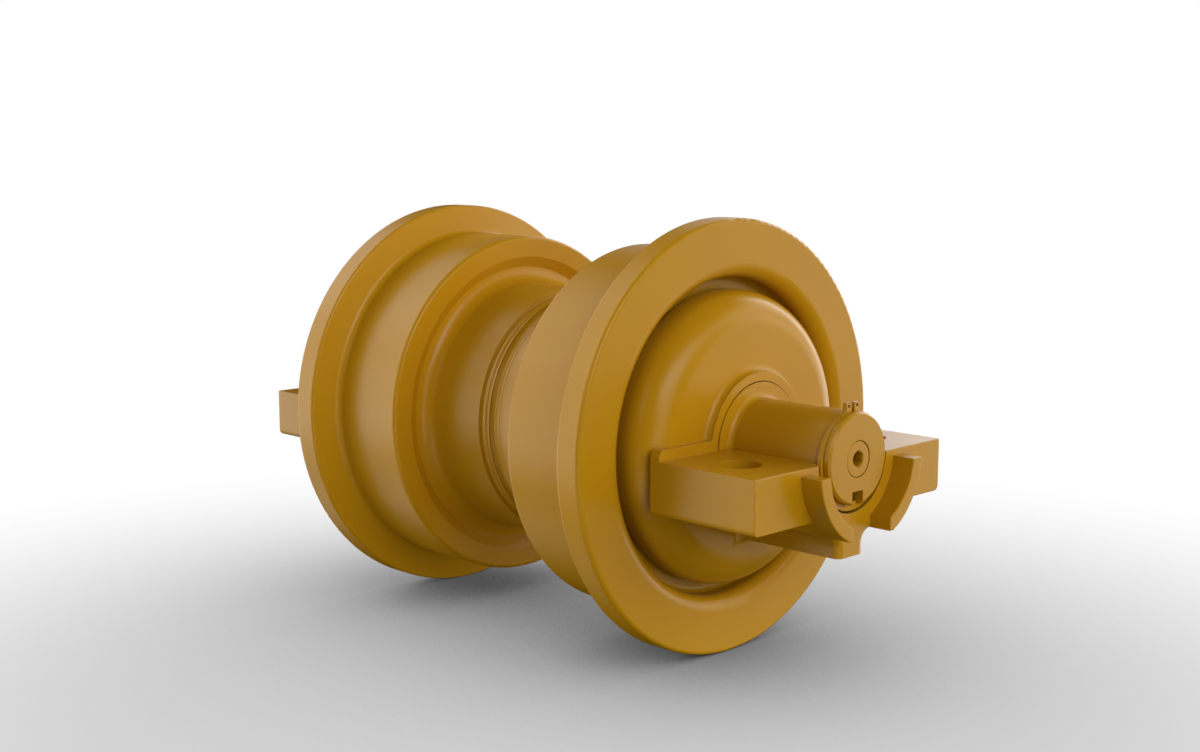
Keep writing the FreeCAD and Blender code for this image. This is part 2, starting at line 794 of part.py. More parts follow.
def make_bushing_bolts(size, end):
    """Make the ring of socket screws that hold one bushing's flange to the shell."""
    body = new_body(f"bushing_bolts_{end}")
    body.AllowCompound = True
    seat = size.bushing_seat_reach + size.bushing_flange_thickness
    start = seat - size.bolt_length
    length = size.bolt_length + size.bolt_head_height
    rise = size.bushing_bolt_radius
    shank = Outline(body, "ShankSection", "XZ_Plane", start)
    shank.circle(ZERO, rise, size.bolt_shank_diameter)
    shank_pad = shank.pad("Shank", length)
    head = Outline(body, "HeadSection", "XZ_Plane", seat)
    head.circle(ZERO, rise, size.bolt_head_diameter)
    head_pad = head.pad("Head", size.bolt_head_height)
    pattern = body.newObject("PartDesign::PolarPattern", "BoltRing")
    pattern.Originals = [shank_pad, head_pad]
    axes = {item.Role: item for item in body.Origin.OriginFeatures}
    pattern.Axis = (axes["Y_Axis"], [""])
    pattern.Angle = FULL_TURN
    pattern.setExpression("Occurrences", size.bushing_bolt_count.text)
    finish(body, pattern)
    turn_to(body, end)


def shaft_corners(size):
    """Return the shaft's section from one end to the other as radii and places on the axis."""
    end = size.shaft_end_reach
    end_radius = size.shaft_end_radius
    groove_radius = size.ring_groove_radius
    groove_back = size.ring_front_reach - size.ring_thickness - size.seat_clearance
    groove_front = groove_back + size.ring_groove_width
    body_radius = size.shaft_diameter / 2
    collar = size.thrust_collar_diameter / 2
    half = [
        (ZERO, end),
        (end_radius - size.shaft_end_chamfer, end),
        (end_radius, end - size.shaft_end_chamfer),
        (end_radius, groove_front),
        (groove_radius, groove_front),
        (groove_radius, groove_back),
        (end_radius, groove_back),
        (end_radius, size.shoulder_reach),
        (body_radius, size.shoulder_reach),
        (body_radius, size.thrust_collar_width / 2),
        (collar, size.thrust_collar_width / 2),
    ]
    return [(radius, -reach) for radius, reach in half] + list(reversed(half))


def make_shaft(size):
    """Make the shaft: thrust collar, shoulders, reduced ends, ring grooves, keyways and oil ways."""
    body = new_body("shaft")
    Outline(body, "ShaftSection").polygon(shaft_corners(size)).revolve("Shaft")
    places = (-size.shoulder_reach, size.shoulder_reach)
    shoulders = [is_ring(size.shaft_end_radius, place) for place in places]
    blend(body, "ShoulderRound", size.shoulder_round, shoulders)
    end = size.shaft_end_reach
    half_width = size.key_width / 2
    near = Outline(body, "PlugEndKeywaySection", "XY_Plane", -size.key_seat_height)
    near.round_ended_slot(half_width, -(end + size.key_width), -size.keyway_inner_end)
    near.pocket("PlugEndKeyway", size.shaft_end_diameter)
    far = Outline(body, "PlainEndKeywaySection", "XY_Plane", -size.key_seat_height)
    far.round_ended_slot(half_width, end + size.key_width, size.keyway_inner_end)
    far.pocket("PlainEndKeyway", size.shaft_end_diameter)
    plug_bore = size.plug_diameter + size.seat_clearance * 2
    seat = Outline(body, "PlugSeatSection", "XZ_Plane", end)
    seat.circle(ZERO, ZERO, plug_bore)
    seat.pocket("PlugSeat", end - size.plug_floor_reach)
    mouth = Outline(body, "PlugMouthSection", "XZ_Plane", end)
    mouth.circle(ZERO, ZERO, plug_bore + size.plug_mouth_gap * 2)
    mouth.pocket("PlugMouth", size.plug_mouth_depth)
    bore = Outline(body, "OilBoreSection", "XZ_Plane", size.plug_floor_reach)
    bore.circle(ZERO, ZERO, size.oil_bore_diameter)
    far_end = size.bushing_oil_hole_reach + size.oil_bore_diameter / 2
    bore.pocket("OilBore", size.plug_floor_reach + far_end)
    for name, place in (
        ("PlugEndOilWay", -size.bushing_oil_hole_reach),
        ("CentreOilWay", ZERO),
        ("PlainEndOilWay", size.bushing_oil_hole_reach),
    ):
        way = Outline(body, name + "Section")
        way.circle(ZERO, place, size.bushing_oil_hole_diameter)
        way.pocket(name, size.thrust_collar_diameter, forward=True)


def make_seal_ring(size, end, side):
    """Make one metal face-seal ring: side is 1 for the shell's ring and -1 for the collar's."""
    name = "rotating" if side > 0 else "fixed"
    body = new_body(f"{name}_seal_ring_{end}")
    bore = size.seal_bore_radius
    outer = size.seal_lip_radius
    lip = size.seal_lip_thickness
    depth = size.seal_ring_depth
    gap = size.seal_face_clearance
    band = outer - size.seal_band_width
    section = [
        (bore, size.seal_face_relief),
        (band, size.seal_face_relief),
        (band, gap),
        (outer, gap),
        (outer, lip),
        (seal_ramp_radius(size, lip), lip),
        (seal_ramp_radius(size, depth), depth),
        (bore, depth),
    ]
    outline = Outline(body, "SealRingSection")
    outline.polygon([(radius, -size.seal_face_reach + behind * side) for radius, behind in section])
    outline.revolve("SealRing")
    turn_to(body, end)


def make_rubber_ring(size, end, side):
    """Make one rubber ring, squeezed flat between the metal ring's ramp and its seat's ramp."""
    name = "rotating" if side > 0 else "fixed"
    body = new_body(f"{name}_rubber_ring_{end}")
    half_gap = (size.rubber_section + size.seat_clearance) / 2
    lean = size.seal_ramp_lean
    radius = size.rubber_section / 2
    middle_radius = size.seal_ramp_diameter / 2 + half_gap / cosine(lean)
    middle_reach = -size.seal_face_reach + size.rubber_centre_depth * side
    along = (sine(lean) * size.rubber_stretch, cosine(lean) * size.rubber_stretch * side)
    across = (cosine(lean) * radius, sine(lean) * radius * side)
    outline = Outline(body, "RubberSection")
    deep = (middle_radius - along[0], middle_reach + along[1])
    shallow = (middle_radius + along[0], middle_reach - along[1])
    turn = math.degrees(math.atan2(across[1].value, across[0].value))
    if side > 0:
        deep_arc = outline.arc(*deep, radius, turn, turn + HALF_TURN)
        shallow_arc = outline.arc(*shallow, radius, turn + HALF_TURN, turn + FULL_TURN)
    else:
        deep_arc = outline.arc(*deep, radius, turn + HALF_TURN, turn + FULL_TURN)
        shallow_arc = outline.arc(*shallow, radius, turn, turn + HALF_TURN)
    first, second = (START_INDEX, END_INDEX) if side > 0 else (END_INDEX, START_INDEX)
    outside = outline.line(
        (shallow[0] + across[0], shallow[1] + across[1]), (deep[0] + across[0], deep[1] + across[1])
    )
    inside = outline.line(
        (deep[0] - across[0], deep[1] - across[1]), (shallow[0] - across[0], shallow[1] - across[1])
    )
    outline.meet_smoothly(outside, END_INDEX, deep_arc, first)
    outline.meet_smoothly(deep_arc, second, inside, START_INDEX)
    outline.meet_smoothly(inside, END_INDEX, shallow_arc, first)
    outline.join(shallow_arc, second, outside, START_INDEX)
    outline.revolve("RubberRing")
    turn_to(body, end)


def collar_corners(size):
    """Return the section of the collar's domed cover as radii and distances from the centre."""
    bore = size.shaft_diameter / 2 + size.seat_clearance
    nose = size.collar_nose_radius
    seat_back = size.seal_face_reach + size.seal_seat_depth
    seat_mouth = size.seal_face_reach + size.seal_mouth_depth
    deep_radius = seal_seat_radius(size, size.seal_seat_depth)
    return [
        (size.skirt_radius, size.skirt_reach),
        (size.skirt_radius, size.dome_face_reach),
        (size.boss_diameter / 2, size.dome_face_reach),
        (size.boss_diameter / 2, size.boss_face_reach),
        (bore, size.boss_face_reach),
        (bore, size.collar_nose_reach),
        (nose, size.collar_nose_reach),
        (nose, size.collar_floor_reach),
        (deep_radius, size.collar_floor_reach),
        (deep_radius, seat_back),
        (seal_seat_radius(size, size.seal_mouth_depth), seat_mouth),
        (size.skirt_bore_radius, seat_mouth),
        (size.skirt_bore_radius, size.skirt_reach),
    ]


def add_saddle(body, size):
    """Add the lip, the two ears, the half-round saddle and the keel to a collar."""
    half_span = size.ear_span / 2
    boss_face = size.boss_face_reach
    lip_back = size.lip_back_reach
    lip = Outline(body, "LipSection", "XZ_Plane", lip_back)
    lip.rectangle(-half_span, half_span, -size.ear_depth, size.lip_rise)
    lip.pad("Lip", boss_face - lip_back)
    blend(body, "LipCornerRound", size.lip_corner_round, [is_level_line(half_span, size.lip_rise)])
    ears = Outline(body, "EarSection", "XZ_Plane", boss_face)
    ears.rectangle(-half_span, half_span, -size.ear_depth, ZERO)
    ears.pad("Ears", size.ear_front_reach - boss_face)
    blend(body, "EarEdgeRound", size.ear_edge_round, [is_level_line(half_span, -size.ear_depth)])
    blend(body, "EarFrontRound", size.ear_front_round, [is_on_face(-size.ear_front_reach)])
    saddle = Outline(body, "SaddleSection", "XZ_Plane", lip_back)
    saddle.lower_half_disc(size.saddle_diameter / 2)
    saddle.pad("Saddle", size.ear_front_reach - lip_back)
    half_keel = size.keel_width / 2
    keel = Outline(body, "KeelSection", "XZ_Plane", lip_back)
    keel.rectangle(-half_keel, half_keel, -size.keel_depth, ZERO)
    keel.pad("Keel", size.ear_front_reach - lip_back)
    throat_height = -chord_reach(size.saddle_diameter / 2, half_keel)
    blend(body, "KeelThroatRound", size.keel_throat_round, [is_level_line(half_keel, throat_height)])
    front_edge = is_upright_line(half_keel, -size.ear_front_reach)
    blend(body, "KeelFrontRound", size.keel_front_round, [front_edge])
    root_edge = is_upright_line(half_keel, -size.dome_face_reach)
    foot_edge = is_foot_line(-size.dome_face_reach, -size.keel_depth)
    blend(body, "KeelRootRound", size.keel_root_round, [root_edge, foot_edge])


def add_guards(body, size):
    """Add the two arc guards that stand out in front of the saddle, rooted behind its rounded edge."""
    start = size.ear_front_reach - size.guard_root_depth
    guards = Outline(body, "GuardSection", "XZ_Plane", start)
    for side in (-1, 1):
        guards.guard_section(
            side,
            size.guard_inner_radius,
            size.saddle_diameter / 2,
            size.guard_top_drop,
            size.guard_gap / 2,
            size.guard_bottom_drop,
        )
    guards.pad("Guards", size.guard_reach - start)
    blend(body, "GuardEdgeRound", size.guard_edge_round, [is_on_face(-size.guard_reach)])


def cut_collar(body, size):
    """Cut the shaft's seat, the ring's seat, the keyway, the bolt holes and the oil ring's groove."""
    front = size.shoulder_front
    seat_radius = size.shaft_end_radius + size.seat_clearance
    shaft_bore = size.shaft_diameter + size.seat_clearance * 2
    bore = Outline(body, "CollarBoreSection", "XZ_Plane", front)
    bore.circle(ZERO, ZERO, shaft_bore)
    bore.pocket("CollarBore", front - size.collar_nose_reach)
    mouth = Outline(body, "BoreMouthSection", "XZ_Plane", front)
    mouth.circle(ZERO, ZERO, shaft_bore + size.bore_mouth_gap * 2)
    mouth.pocket("BoreMouth", front - size.boss_face_reach + size.bore_mouth_depth)
    seat = Outline(body, "ShaftSeatSection", "XZ_Plane", size.ear_front_reach)
    seat.circle(ZERO, ZERO, seat_radius * 2)
    seat.pocket("ShaftSeat", size.ear_front_reach - front)
    relief = Outline(body, "ShoulderReliefSection")
    relief.polygon([
        (seat_radius, -front),
        (seat_radius + size.shoulder_relief, -front),
        (seat_radius, -(front + size.shoulder_relief)),
    ])
    relief.groove("ShoulderRelief")
    ring_seat = Outline(body, "RingSeatSection", "XZ_Plane", size.ear_front_reach)
    ring_seat.circle(ZERO, ZERO, size.ring_seat_radius * 2)
    ring_seat.pocket("RingSeat", size.ring_seat_depth)
    keyway = Outline(body, "SaddleKeywaySection")
    open_end = size.ear_front_reach - size.ring_seat_depth / 2
    keyway.round_ended_slot(size.key_width / 2, -open_end, -size.keyway_inner_end)
    keyway.pocket("SaddleKeyway", size.key_bottom_depth + size.seat_clearance)
    holes = Outline(body, "MountHoleSection")
    for side in (-1, 1):
        across = size.mount_hole_spacing / 2 * side
        holes.circle(across, -size.mount_hole_reach, size.mount_hole_diameter)
    holes.pocket("MountHoles", size.ear_depth + size.lip_rise)
    groove_bore = size.shaft_diameter / 2
    groove_floor = groove_bore + size.oil_ring_section + size.seat_clearance
    half_width = (size.oil_ring_section + size.oil_ring_side_room) / 2
    near, far = -(size.oil_ring_reach + half_width), -(size.oil_ring_reach - half_width)
    groove = Outline(body, "OilRingGrooveSection")
    groove.rectangle(groove_bore, groove_floor, near, far)
    groove.groove("OilRingGroove")


def make_collar(size, end):
    """Make one end collar: domed seal cover, boss, mounting ears, saddle, keel and arc guards."""
    body = new_body(f"end_collar_{end}")
    outline = Outline(body, "CoverSection")
    outline.polygon([(radius, -reach) for radius, reach in collar_corners(size)])
    outline.revolve("Cover")
    blend(body, "DomeRound", dome_round(size), [is_ring(size.skirt_radius, -size.dome_face_reach)])
    blend(body, "BossRound", size.boss_round, [is_ring(size.boss_diameter / 2, -size.dome_face_reach)])
    add_saddle(body, size)
    add_guards(body, size)
    cut_collar(body, size)
    turn_to(body, end)


def make_retaining_ring(size, end):
    """Make one external retaining ring with two plier lugs at its open top."""
    body = new_body(f"retaining_ring_{end}")
    back = size.ring_front_reach - size.ring_thickness
    bore = size.ring_groove_radius + size.seat_clearance
    band = Outline(body, "BandSection", "XZ_Plane", back)
    band.circle(ZERO, -size.ring_drop, size.ring_radius * 2)
    band.circle(ZERO, ZERO, bore * 2)
    band.pad("Band", size.ring_thickness)
    near = size.ring_gap / 2
    far = near + size.ring_lug_width
    lug_foot = chord_reach(bore, near)
    lugs = Outline(body, "LugSection", "XZ_Plane", back)
    lugs.rectangle(-far, far, lug_foot, size.ring_lug_rise)
    lugs.pad("Lugs", size.ring_thickness)
    flare_height = chord_reach(size.ring_radius, far) - size.ring_drop
    blend(body, "LugRound", size.ring_lug_round, [is_level_line(far, flare_height)])
    gap = Outline(body, "GapSection", "XZ_Plane", size.ring_front_reach)
    gap.rectangle(-near, near, ZERO, size.ring_lug_rise + size.ring_gap)
    gap.pocket("Gap", size.ring_thickness)
    holes = Outline(body, "PlierHoleSection", "XZ_Plane", size.ring_front_reach)
    for side in (-1, 1):
        holes.circle(size.ring_hole_spacing / 2 * side, size.ring_hole_rise, size.ring_hole_diameter)
    holes.pocket("PlierHoles", size.ring_thickness)
    turn_to(body, end)


def make_key(size, end):
    """Make one key that keeps the shaft from turning in its saddle."""
    body = new_body(f"shaft_key_{end}")
    outer_end = size.key_outer_end
    inner_end = outer_end - size.key_length
    outline = Outline(body, "KeySection", "XY_Plane", -size.key_bottom_depth)
    outline.round_ended_slot(size.key_width / 2 - size.seat_clearance, -outer_end, -inner_end)
    height = size.key_bottom_depth - size.key_seat_height - size.seat_clearance
    outline.pad("Key", height)
    turn_to(body, end)


def make_oil_ring(size, end):
    """Make the rubber ring that seals one collar's bore on the shaft."""
    ring = FreeCAD.ActiveDocument.addObject("Part::Torus", f"oil_ring_{end}")
    ring.Label = f"oil_ring_{end}"
    ring.Placement = Placement(Vector(), Rotation(Vector(1, 0, 0), -QUARTER_TURN))
    middle = size.shaft_diameter / 2 + (size.oil_ring_section + size.seat_clearance) / 2
    ring.setExpression("Radius1", middle.text)
    ring.setExpression("Radius2", (size.oil_ring_section / 2).text)
    place = size.oil_ring_reach if end == "plain_end" else -size.oil_ring_reach
    ring.setExpression("Placement.Base.y", place.text)


def make_oil_plug(size):
    """Make the screwed oil plug with its hexagon socket."""
    body = new_body("oil_plug")
    end = size.plug_face_reach
    stem = Outline(body, "PlugSection", "XZ_Plane", end - size.plug_length)
    stem.circle(ZERO, ZERO, size.plug_diameter)
    stem.pad("Plug", size.plug_length)
    blend(body, "PlugEdge", size.plug_edge_chamfer, [is_ring(size.plug_diameter / 2, -end)], "Chamfer")
    socket = Outline(body, "SocketSection", "XZ_Plane", end)
    socket.regular_hexagon(size.hex_across_flats)
    socket.pocket("Socket", size.hex_depth)
    mouth = Outline(body, "SocketMouthSection", "XZ_Plane", end)
    mouth.circle(ZERO, ZERO, size.hex_across_flats + size.hex_mouth_margin)
    mouth.pocket("SocketMouth", size.hex_mouth_depth)


def make_plug_washer(size):
    """Make the sealing washer under the oil plug."""
    body = new_body("plug_washer")
    outline = Outline(body, "WasherSection", "XZ_Plane", size.plug_floor_reach)
    outline.circle(ZERO, ZERO, size.plug_diameter - size.seat_clearance)
    outline.circle(ZERO, ZERO, size.oil_bore_diameter + size.seat_clearance)
    outline.pad("Washer", size.plug_washer_thickness)


def build(size):
    """Build every piece of the roller, from the shell inwards."""
    make_weld_ring(size)
    make_shaft(size)
    make_oil_plug(size)
    make_plug_washer(size)
    for end in ENDS:
        make_rim_half(size, end)
        make_bushing(size, end)
        make_bushing_bolts(size, end)
        for side in (1, -1):
            make_seal_ring(size, end, side)
            make_rubber_ring(size, end, side)
        make_collar(size, end)
        make_oil_ring(size, end)
        make_retaining_ring(size, end)
        make_key(size, end)


def sub_parts(document):
    """Return the finished pieces: the bodies and the plain round rings."""
    found = []
    for item in document.Objects:
        if item.isDerivedFrom("PartDesign::Body") or item.TypeId == "Part::Torus":
            found.append(item)
    return found


def check_document(document):
    """Stop when an object of the document is in error."""
    for item in document.Objects:
        if "Invalid" in item.State or "Error" in item.State:
            raise RuntimeError(f"{item.Label} is in error: {item.State}")


def write_parts(document):
    """Check every piece's shape and write it under its own name."""
    pieces = sub_parts(document)
    for piece in pieces:
        shape = piece.Shape
        if shape.isNull() or not shape.isValid() or shape.Volume <= 0:
            raise RuntimeError(f"{piece.Label} has no valid shape")
    for piece in pieces:
        piece.Shape.exportStep(f"parts/{piece.Label}.step")
        volume = piece.Shape.Volume / 1000
        print(f"{piece.Label}: {len(piece.Shape.Solids)} solid(s), {volume:.1f} cm3")


def main():
    """Build the roller and write its pieces."""
    os.makedirs("parts", exist_ok=True)
    document = FreeCAD.newDocument("track_roller")
    size = fill_sheet(document)
    place_shell(size)
    place_seals(size)
    place_collars(size)
    place_shaft_end(size)
    build(size)
    document.recompute()
    check_document(document)
    write_parts(document)


main()
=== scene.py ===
"""Looks of the single flange track roller: satin enamel over forged steel, in soft studio light."""

import json
import logging
import math
from dataclasses import dataclass, field
from enum import Enum
from typing import Iterable, Sequence

import bpy
from mathutils import Matrix, Vector

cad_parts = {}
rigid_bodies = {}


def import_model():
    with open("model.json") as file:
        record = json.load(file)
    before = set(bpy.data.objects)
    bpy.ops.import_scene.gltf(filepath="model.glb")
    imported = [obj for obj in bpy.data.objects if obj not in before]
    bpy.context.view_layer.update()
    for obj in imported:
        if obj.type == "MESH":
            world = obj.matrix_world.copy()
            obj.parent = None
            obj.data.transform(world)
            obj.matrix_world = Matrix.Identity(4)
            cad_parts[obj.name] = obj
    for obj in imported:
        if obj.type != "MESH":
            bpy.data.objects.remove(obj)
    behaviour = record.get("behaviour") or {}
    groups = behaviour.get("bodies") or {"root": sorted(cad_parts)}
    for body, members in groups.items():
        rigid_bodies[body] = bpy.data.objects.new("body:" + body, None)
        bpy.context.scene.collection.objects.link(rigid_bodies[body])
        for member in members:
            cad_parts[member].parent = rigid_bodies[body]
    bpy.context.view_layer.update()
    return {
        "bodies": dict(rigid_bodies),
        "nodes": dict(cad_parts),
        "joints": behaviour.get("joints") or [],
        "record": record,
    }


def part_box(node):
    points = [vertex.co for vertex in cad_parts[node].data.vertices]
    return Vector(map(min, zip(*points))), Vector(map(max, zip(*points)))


LOG = logging.getLogger("track_roller")

Colour = tuple[float, float, float]
Place = tuple[float, float, float]

WHITE = (1.0, 1.0, 1.0, 1.0)

# Noise values taken as the low and the high end of what a noise steers.
NOISE_LOW, NOISE_HIGH = 0.3, 0.7

# The mixing node lists its sockets once for each kind of value. These are the ones in use.
MIX_SHARE = 0
NUMBER_LOW, NUMBER_HIGH, NUMBER_MIXED = 2, 3, 0
COLOUR_LOW, COLOUR_HIGH, COLOUR_MIXED = 6, 7, 2


class End(Enum):
    """The two ends of the roller, as the frame's node names give them."""

    PLUG = "plug_end"
    PLAIN = "plain_end"


class NodeSheet:
    """A node tree with short calls to add, join, sum and choose."""

    def __init__(self, tree: bpy.types.NodeTree) -> None:
        """Empty the tree.

        Args:
            tree: Node tree of a material or of the world.
        """
        self.tree = tree
        self.tree.nodes.clear()

    def add(self, kind: str, **values: object) -> bpy.types.Node:
        """Add a node and set its properties.

        Args:
            kind: Node type name.
            values: Properties of the node by name.

        Returns:
            The new node.
        """
        node = self.tree.nodes.new(kind)
        for name, value in values.items():
            setattr(node, name, value)
        return node

    def join(
        self, source: bpy.types.Node, output: str | int, target: bpy.types.Node, entry: str | int
    ) -> None:
        """Link one node's output to another's input.

        Args:
            source: Node that gives the value.
            output: Name or number of its output.
            target: Node that takes the value.
            entry: Name or number of its input.
        """
        self.tree.links.new(source.outputs[output], target.inputs[entry])

    def weighted_sum(self, parts: Iterable[tuple[bpy.types.Node, str, float]]) -> bpy.types.Node:
        """Add up the results of several nodes, each times its weight.

        Args:
            parts: For each part its node, the name of the node's output and the weight.

        Returns:
            The node whose result is the sum.
        """
        total = self.add("ShaderNodeValue")
        total.outputs[0].default_value = 0.0
        for node, output, weight in parts:
            more = self.add("ShaderNodeMath", operation="MULTIPLY_ADD")
            more.inputs[1].default_value = weight
            self.join(node, output, more, 0)
            self.join(total, 0, more, 2)
            total = more
        return total

    def for_camera(self, seen: bpy.types.Node, otherwise: bpy.types.Node) -> bpy.types.Node:
        """Give the camera one shader and every other ray another.

        Args:
            seen: Shader that the camera sees.
            otherwise: Shader for the light on its way round.

        Returns:
            The node that chooses.
        """
        path = self.add("ShaderNodeLightPath")
        choice = self.add("ShaderNodeMixShader")
        self.join(path, "Is Camera Ray", choice, 0)
        self.join(otherwise, 0, choice, 1)
        self.join(seen, 0, choice, 2)
        return choice


class FinishSheet(NodeSheet):
    """A finish's node tree round one surface shader, with the effects that finishes are made of."""

    def __init__(self, name: str) -> None:
        """Start the material.

        Args:
            name: Name of the material.
        """
        self.material = bpy.data.materials.new(name)
        self.material.use_nodes = True
        super().__init__(self.material.node_tree)
        self.shader = self.add("ShaderNodeBsdfPrincipled")
        output = self.add("ShaderNodeOutputMaterial")
        self.join(self.shader, "BSDF", output, "Surface")

    def noise(self, scale: float, detail: float) -> bpy.types.Node:
        """Add noise in the object's own coordinates.

        Args:
            scale: Number of features to a metre.
            detail: Octaves of finer noise.

        Returns:
            The noise node.
        """
        place = self.add("ShaderNodeTexCoord")
        node = self.add("ShaderNodeTexNoise")
        node.inputs["Scale"].default_value = scale
        node.inputs["Detail"].default_value = detail
        self.join(place, "Object", node, "Vector")
        return node

    def spread(self, source: bpy.types.Node, low: float, high: float) -> bpy.types.Node:
        """Map the middle of a noise to a range of values.

        Args:
            source: Noise node.
            low: Value at the noise's low end.
            high: Value at the noise's high end.

        Returns:
            The mapping node.
        """
        node = self.add("ShaderNodeMapRange")
        node.inputs["From Min"].default_value = NOISE_LOW
        node.inputs["From Max"].default_value = NOISE_HIGH
        node.inputs["To Min"].default_value = low
        node.inputs["To Max"].default_value = high
        self.join(source, "Fac", node, "Value")
        return node

    def blend(
        self, share: bpy.types.Node, low: Colour, high: Colour | bpy.types.Node
    ) -> bpy.types.Node:
        """Mix two colours along a value from 0 to 1.

        Args:
            share: Node whose result runs from 0 to 1.
            low: Colour at 0.
            high: Colour at 1, or the mixing node that gives it.

        Returns:
            The mixing node.
        """
        mix = self.add("ShaderNodeMix", data_type="RGBA")
        mix.inputs[COLOUR_LOW].default_value = (*low, 1.0)
        if isinstance(high, bpy.types.Node):
            self.join(high, COLOUR_MIXED, mix, COLOUR_HIGH)
        else:
            mix.inputs[COLOUR_HIGH].default_value = (*high, 1.0)
        self.join(share, "Result", mix, MIX_SHARE)
        return mix

    def tint(self, share: bpy.types.Node, low: Colour, high: Colour | bpy.types.Node) -> None:
        """Colour the shader between two colours along a value from 0 to 1.

        Args:
            share: Node whose result runs from 0 to 1.
            low: Colour at 0.
            high: Colour at 1, or the mixing node that gives it.
        """
        self.join(self.blend(share, low, high), COLOUR_MIXED, self.shader, "Base Color")

    def openness(self, reach: float, shut: float, clear: float, rays: int) -> bpy.types.Node:
        """Measure how open the place is, from 0 in a narrow gap to 1 outside it.

        Args:
            reach: How far away a wall still counts, in metres.
            shut: Share of open directions taken as 0.
            clear: Share of open directions taken as 1.
            rays: Directions tried at each place.

        Returns:
            The node whose result is the openness.
        """
        nearby = self.add("ShaderNodeAmbientOcclusion", samples=rays)
        nearby.inputs["Distance"].default_value = reach
        node = self.add("ShaderNodeMapRange", interpolation_type="SMOOTHSTEP")
        node.inputs["From Min"].default_value = shut
        node.inputs["From Max"].default_value = clear
        self.join(nearby, "AO", node, "Value")
        return node

    def relief(self, source: bpy.types.Node, height: float) -> bpy.types.Node:
        """Raise the surface by a noise.

        Args:
            source: Noise node.
            height: Depth of the relief in metres.

        Returns:
            The bump node.
        """
        bump = self.add("ShaderNodeBump")
        bump.inputs["Distance"].default_value = height
        self.join(source, "Fac", bump, "Height")
        self.join(bump, "Normal", self.shader, "Normal")
        return bump


@dataclass(frozen=True)
class Enamel:
    """Satin machine enamel, sprayed over everything that shows. Lengths are in metres."""

    deep: Colour = (0.508, 0.247, 0.0048)
    pale: Colour = (0.531, 0.260, 0.0060)
    cloud_scale: float = 9.0
    cloud_detail: float = 3.0
    smooth: float = 0.22
    dull: float = 0.26
    gloss_level: float = 0.207
    gloss_scale: float = 27.0
    gloss_detail: float = 4.0
    # Near-black colour for narrow gaps and creases, found by how little open space is near: painted
    # shade.
    painted_gap_shade: Colour = (0.022, 0.014, 0.001)
    gap_roughness: float = 1.0
    gap_shade_reach: float = 0.016
    gap_shade_rays: int = 4
    shut_gap: float = 0.05
    open_gap: float = 0.21
    peel_scale: float = 620.0
    peel_detail: float = 1.0
    peel_height: float = 0.00002
    edge_build_up: float = 0.0007
    edge_rays: int = 4

    def material(self) -> bpy.types.Material:
        """Make the enamel: drifting tone and gloss, painted shade (a near-black colour) in narrow
        gaps, soft edges.
        """
        sheet = FinishSheet("satin_enamel")
        cloud = sheet.spread(sheet.noise(self.cloud_scale, self.cloud_detail), 0.0, 1.0)
        # Narrow gaps take the near-black colour instead of the paint: painted shade where little
        # light reaches.
        gap_openness = sheet.openness(self.gap_shade_reach, self.shut_gap, self.open_gap, self.gap_shade_rays)
        sheet.tint(gap_openness, self.painted_gap_shade, sheet.blend(cloud, self.deep, self.pale))
        self.add_gloss(sheet, gap_openness)
        self.add_relief(sheet)
        return sheet.material

    def add_gloss(self, sheet: FinishSheet, gap_openness: bpy.types.Node) -> None:
        """Make the paint satin in drifting patches, and the painted-shade gaps dull.

        Args:
            sheet: Node tree of the enamel.
            gap_openness: Node whose result is 0 in narrow gaps, which carry the painted shade, and
                1 in the open.
        """
        sheet.shader.inputs["Specular IOR Level"].default_value = self.gloss_level
        patches = sheet.noise(self.gloss_scale, self.gloss_detail)
        roughness = sheet.add("ShaderNodeMix", data_type="FLOAT")
        roughness.inputs[NUMBER_LOW].default_value = self.gap_roughness
        sheet.join(gap_openness, "Result", roughness, MIX_SHARE)
        painted = sheet.spread(patches, self.smooth, self.dull)
        sheet.join(painted, "Result", roughness, NUMBER_HIGH)
        sheet.join(roughness, NUMBER_MIXED, sheet.shader, "Roughness")

    def add_relief(self, sheet: FinishSheet) -> None:
        """Give the paint fine orange peel, and round it over the edges where it builds up.

        Args:
            sheet: Node tree of the enamel.
        """
        peel = sheet.relief(sheet.noise(self.peel_scale, self.peel_detail), self.peel_height)
        edge = sheet.add("ShaderNodeBevel", samples=self.edge_rays)
        edge.inputs["Radius"].default_value = self.edge_build_up
        sheet.join(edge, "Normal", peel, "Normal")


@dataclass(frozen=True)
class PlainMetal:
    """Bare machined or cast metal of the parts inside the roller."""

    name: str
    deep: Colour
    pale: Colour
    roughness: float
    roughness_drift: float = 0.15
    grain_scale: float = 400.0
    grain_detail: float = 3.0
    grain_height: float = 0.00001

    def material(self) -> bpy.types.Material:
        """Make the metal with a fine grain."""
        sheet = FinishSheet(self.name)
        sheet.shader.inputs["Metallic"].default_value = 1.0
        grain = sheet.noise(self.grain_scale, self.grain_detail)
        sheet.tint(sheet.spread(grain, 0.0, 1.0), self.deep, self.pale)
        drift = self.roughness * self.roughness_drift
        rough = sheet.spread(grain, self.roughness - drift, self.roughness + drift)
        sheet.join(rough, "Result", sheet.shader, "Roughness")
        sheet.relief(grain, self.grain_height)
        return sheet.material


